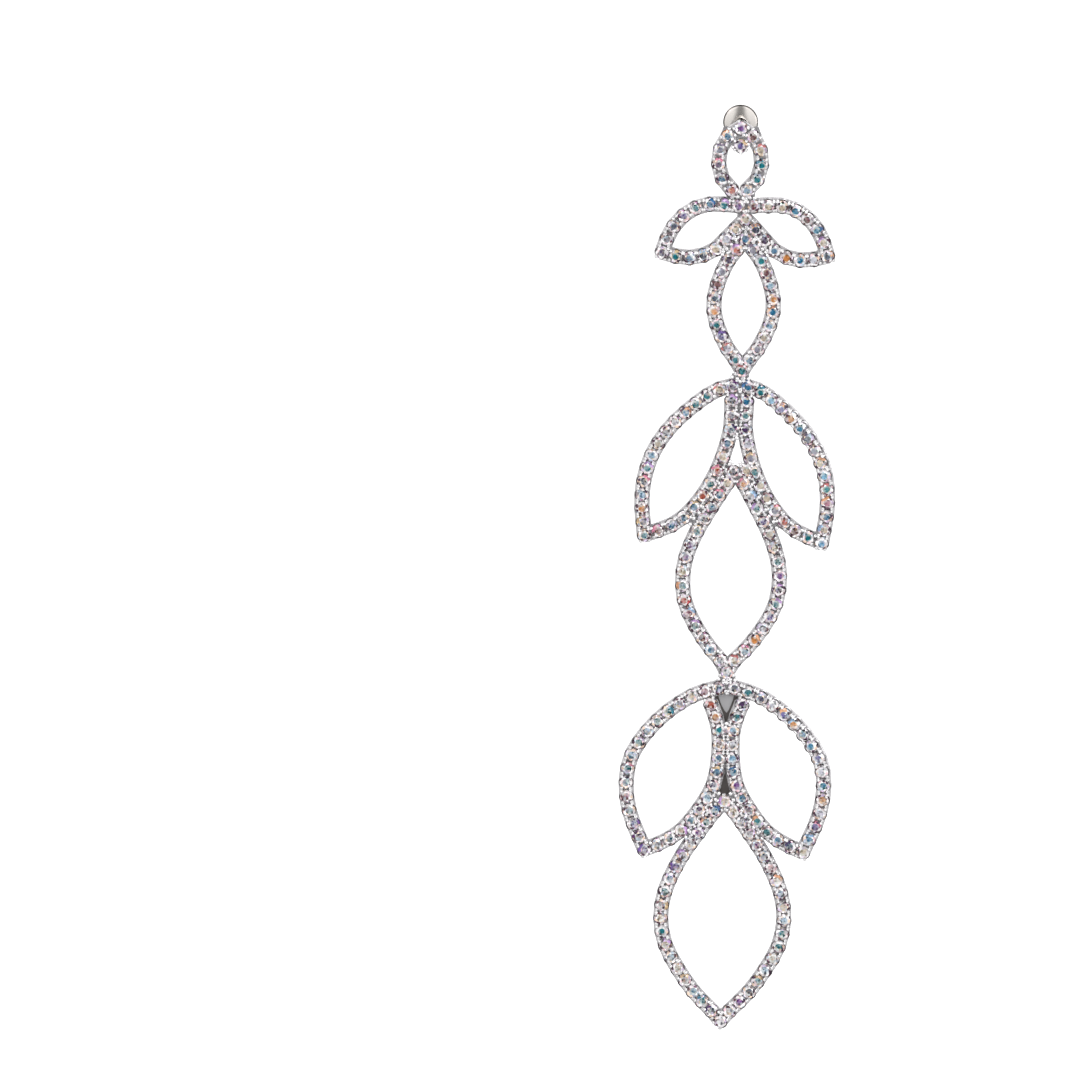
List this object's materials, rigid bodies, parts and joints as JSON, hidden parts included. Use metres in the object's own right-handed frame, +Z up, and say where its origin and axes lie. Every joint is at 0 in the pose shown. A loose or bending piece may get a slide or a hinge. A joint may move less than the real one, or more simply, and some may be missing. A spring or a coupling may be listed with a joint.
{
  "type": "chandelier earring",
  "caption": "Long drop earring: a small loop at the ear and tiers of leaf and pear outlines, made of rows of round iridescent stones in silver cups, on a post with a clutch.",
  "frame": {"origin": "on the axis of the ear post, on the face of its pad that touches the front of the ear lobe", "axes": "+Z up as the earring hangs, +Y along the post from the jewel's front to the back of the ear, +X across the jewel, to the right as seen from the front"},
  "size_m": [0.0321, 0.014, 0.1393],
  "materials": {
    "crystal_rows": "clear glass stones with an iridescent coat, in bright silver-plated cups",
    "silver_plate": "polished silver plate"
  },
  "bodies": {
    "root": {"top_loop": "crystal_rows", "upper_tier": "crystal_rows", "middle_tier": "crystal_rows", "lower_tier": "crystal_rows", "ear_post": "silver_plate"},
    "clutch": {"ear_clutch": "silver_plate"}
  },
  "joints": [
    {"name": "clutch_slide", "type": "slide", "parent": "root", "child": "clutch", "axis": [0, 1, 0], "range_m": [-0.005, 0.0065]}
  ]
}
